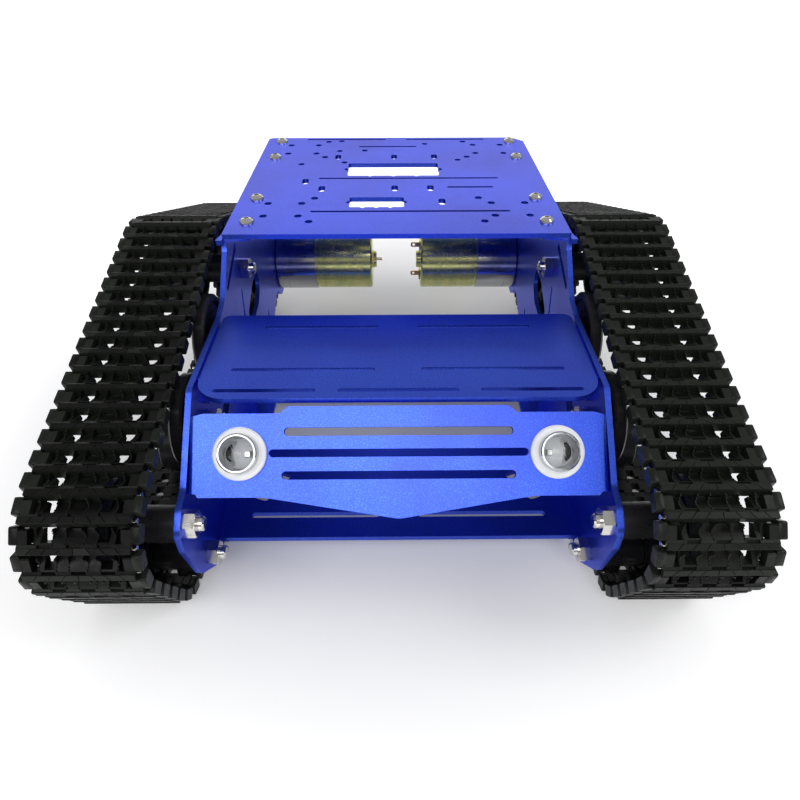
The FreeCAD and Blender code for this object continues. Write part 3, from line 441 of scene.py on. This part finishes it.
def add_link_ears(bm, pitch):
    """Outer ends: a bump that holds the pin and a raised block beside the hollow."""
    for side in (-1, 1):
        def span(a, b):
            return sorted((side * a, side * b))

        add_rod(bm, KNUCKLE_R, *span(BODY_HALF + CLEAR, BUMP_HALF), 0, 0, 22, 0.25)
        add_block(bm, *span(BODY_HALF + CLEAR, BUMP_HALF - 0.2), 0.2, WALL_START + 0.2, -1.4, 1.8)
        root = [(WALL_START, -1.4), (pitch - 1.75, -1.4), (pitch - 1.75, 2.2),
                (pitch - 2.1, 2.6), (WALL_START, 2.6)]
        add_prism(bm, root, *span(END_CELL - 0.05, BUMP_HALF + 0.3), "x")
        tip = [(1.45, -0.9), (1.85, -1.2), (pitch - 1.2, -1.2), (pitch - 0.9, -0.8),
               (pitch - 0.9, 2.3), (pitch - 1.35, 2.75), (1.9, 2.75), (1.45, 2.3)]
        add_prism(bm, tip, *span(BUMP_HALF + 0.25, EAR_HALF), "x", 0.14)


def link_mesh(pitch):
    """One moulded link in millimetres: first pin at the origin, +Z out of the loop."""
    bm = bmesh.new()
    add_link_web(bm, pitch)
    add_link_bar(bm)
    add_link_ribs(bm, pitch)
    add_link_hinge(bm, pitch)
    add_link_ears(bm, pitch)
    return bm


def pins_in_order(node):
    """Centres of the separate pins in a node, in turn round their loop (y, z)."""
    bm = bmesh.new()
    bm.from_mesh(nodes[node].data)
    bmesh.ops.remove_doubles(bm, verts=bm.verts, dist=WELD)
    seen = set()
    centres = []
    for start in bm.verts:
        if start in seen:
            continue
        seen.add(start)
        island = [start]
        for vert in island:
            for e in vert.link_edges:
                other = e.other_vert(vert)
                if other not in seen:
                    seen.add(other)
                    island.append(other)
        ys = [v.co.y for v in island]
        zs = [v.co.z for v in island]
        centres.append(((min(ys) + max(ys)) / 2, (min(zs) + max(zs)) / 2))
    bm.free()
    my = sum(c[0] for c in centres) / len(centres)
    mz = sum(c[1] for c in centres) / len(centres)
    return sorted(centres, key=lambda c: -math.atan2(c[1] - mz, c[0] - my))


def make_track(side, sign):
    pins = pins_in_order("track_pins_" + side)
    low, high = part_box("track_links_" + side)
    middle = (low.x + high.x) / 2
    pitch = math.dist(pins[0], pins[1]) / MM
    source = link_mesh(pitch)
    proto = bpy.data.meshes.new("link")
    source.to_mesh(proto)
    source.free()
    bm = bmesh.new()
    for here, after in zip(pins, pins[1:] + pins[:1]):
        heading = math.atan2(after[1] - here[1], after[0] - here[0])
        place = (Matrix.Translation((middle, here[0], here[1]))
                 @ Matrix.Rotation(heading, 4, "X") @ Matrix.Diagonal((MM * sign, MM, MM, 1)))
        start = len(bm.verts)
        bm.from_mesh(proto)
        bm.verts.ensure_lookup_table()
        for vert in bm.verts[start:]:
            vert.co = place @ vert.co
    bpy.data.meshes.remove(proto)
    piece("track_shell_" + side, bm, "track_nylon", "chassis", ["track_links_" + side], 40)


for side, sign in SIDES:
    make_track(side, sign)


# ---- Sheet parts with softened edges ----------------------------------------
EDGE_ROUND = 0.22 * MM


def soften(node):
    """A copy of a sheet part whose cut edges are rounded over."""
    bm = bmesh.new()
    bm.from_mesh(nodes[node].data)
    bmesh.ops.remove_doubles(bm, verts=bm.verts, dist=WELD)
    bmesh.ops.dissolve_limit(bm, angle_limit=math.radians(1.0), verts=bm.verts, edges=bm.edges)
    obj = piece(node + "_sheet", bm, SLOT_OF[node], BODY_OF[node], [node])
    bevel = obj.modifiers.new("edges", "BEVEL")
    bevel.limit_method = "ANGLE"
    bevel.angle_limit = math.radians(40)
    bevel.width = EDGE_ROUND
    bevel.segments = 2
    bevel.use_clamp_overlap = True
    bevel.harden_normals = True


for sheet in ("deck_plate", "hood_plate", "front_panel", "bottom_plate", "side_plate_left",
              "side_plate_right"):
    soften(sheet)


# ---- Inside the lamps -------------------------------------------------------
LEAN = math.radians(44.8)       # of the nose panel from upright
LAMP_OUT = Vector((0, -math.cos(LEAN), math.sin(LEAN)))


def lamp_frame(sign):
    """Placement whose X axis runs out of the lamp, from the middle of its clear body."""
    points = [v.co for v in nodes["lamp_lenses"].data.vertices if v.co.x * sign > 0]
    across = (Vector((1, 0, 0)), LAMP_OUT.cross(Vector((1, 0, 0))))
    middle = Vector()
    for axis in across:
        spans = [p.dot(axis) for p in points]
        middle += axis * (min(spans) + max(spans)) / 2
    middle += LAMP_OUT * min(p.dot(LAMP_OUT) for p in points)
    turn = LAMP_OUT.to_track_quat("X", "Z").to_matrix().to_4x4()
    return Matrix.Translation(middle) @ turn @ Matrix.Scale(MM, 4)


def lamp_insides(side, sign):
    """Dark base, round emitter and its chip behind the lens, in millimetres."""
    place = lamp_frame(sign)
    cup = bmesh.new()
    add_rod(cup, 4.5, 0.3, 0.9, sides=32)
    emitter = bmesh.new()
    add_rod(emitter, 2.1, 0.95, 1.5, sides=28, bevel=0.2)
    die = bmesh.new()
    add_block(die, 1.55, 1.9, -0.4, 0.4, -0.4, 0.4, 0.06)
    for name, bm, slot in (("lamp_base_", cup, "wheel_nylon"),
                           ("lamp_emitter_", emitter, "frosted_ring"),
                           ("lamp_die_", die, "bearing_steel")):
        bmesh.ops.transform(bm, matrix=place, verts=bm.verts)
        piece(name + side, bm, slot, "chassis")


for side, sign in SIDES:
    lamp_insides(side, sign)


# ---- Floor, lights, camera --------------------------------------------------
FLOOR_HALF = 4.0
FLOOR_DROP = 0.0001


def stage_floor():
    """White sweep whose emission rises away from the vehicle; the dim floor close to it is a
    painted soft shadow round the vehicle.
    """
    s = Shader("floor", (0.80, 0.80, 0.81), 0.75, 0.0, Emission_Color=(1.0, 1.0, 1.0, 1.0),
               Specular_IOR_Level=0.0)
    s.tint(s.spread(s.noise(3, 3.0), 0.4, 0.7, 0.0, 0.5), (0.78, 0.78, 0.795))
    reach = s.node("ShaderNodeVectorMath", operation="LENGTH")
    s.link(s.coord, reach.inputs[0])
    # Painted shadow: emission stays low near the vehicle and rises to an even white further out.
    painted_shadow_glow = s.spread(reach.outputs["Value"], 0.10, 0.27, 0.10, 0.70)
    s.link(painted_shadow_glow, s.bsdf.inputs["Emission Strength"])
    bm = bmesh.new()
    level = cad_box[0].z - FLOOR_DROP
    corners = [(-1, -1), (1, -1), (1, 1), (-1, 1)]
    bm.faces.new([bm.verts.new((u * FLOOR_HALF, v * FLOOR_HALF, level)) for u, v in corners])
    mesh = bpy.data.meshes.new("floor")
    bm.to_mesh(mesh)
    bm.free()
    obj = bpy.data.objects.new("floor", mesh)
    bpy.context.scene.collection.objects.link(obj)
    dress(obj, s.mat)


def softbox(name, place, aim, width, height, power):
    """Rectangular area light that faces a point."""
    data = bpy.data.lights.new(name, "AREA")
    data.shape = "RECTANGLE"
    data.size = width
    data.size_y = height
    data.energy = power
    obj = bpy.data.objects.new(name, data)
    bpy.context.scene.collection.objects.link(obj)
    obj.location = place
    obj.rotation_euler = (Vector(aim) - Vector(place)).to_track_quat("-Z", "Y").to_euler()


# Grey of the surroundings as (sine of the height above the horizon, brightness)
SKY_STOPS = ((0.0, 0.26), (0.15, 0.30), (0.35, 0.42), (0.55, 0.46), (0.80, 0.42), (1.0, 0.38))


def sky():
    """Even grey surroundings, a little brighter half way up."""
    world = bpy.data.worlds.new("studio")
    bpy.context.scene.world = world
    world.use_nodes = True
    tree = world.node_tree
    back = tree.nodes["Background"]
    coord = tree.nodes.new("ShaderNodeTexCoord")
    split = tree.nodes.new("ShaderNodeSeparateXYZ")
    ramp = tree.nodes.new("ShaderNodeValToRGB")
    tree.links.new(coord.outputs["Generated"], split.inputs["Vector"])
    tree.links.new(split.outputs["Z"], ramp.inputs["Fac"])
    elements = ramp.color_ramp.elements
    for element, (position, value) in zip(elements, (SKY_STOPS[0], SKY_STOPS[-1])):
        element.position = position
        element.color = (value, value, value, 1)
    for position, value in SKY_STOPS[1:-1]:
        elements.new(position).color = (value, value, value, 1)
    tree.links.new(ramp.outputs["Color"], back.inputs["Color"])
    back.inputs["Strength"].default_value = 1.0


stage_floor()
sky()
softbox("key", (-0.26, -0.88, 0.95), (0, -0.02, 0.05), 1.30, 0.5, 8.5)
softbox("side", (1.0, -0.2, 1.0), (0, 0, 0.05), 0.6, 0.6, 5)
softbox("rear", (-0.1, 1.3, 0.62), (0, 0.05, 0.08), 1.6, 0.35, 2.8)

CAMERA_AT = Vector((-0.001, -0.23647, 0.20004))
CAMERA_DOWN = 39.1      # degrees below level
CAMERA_YAW = 0.54       # degrees to the right
CAMERA_LENS = 27.9


def camera():
    data = bpy.data.cameras.new("camera")
    data.lens = CAMERA_LENS
    data.sensor_width = 36
    data.clip_start = 0.01
    obj = bpy.data.objects.new("camera", data)
    bpy.context.scene.collection.objects.link(obj)
    obj.location = CAMERA_AT
    obj.rotation_euler = (math.radians(90 - CAMERA_DOWN), 0, math.radians(-CAMERA_YAW))
    bpy.context.scene.camera = obj


camera()
bpy.context.scene.view_settings.view_transform = "Standard"
bpy.context.view_layer.update()
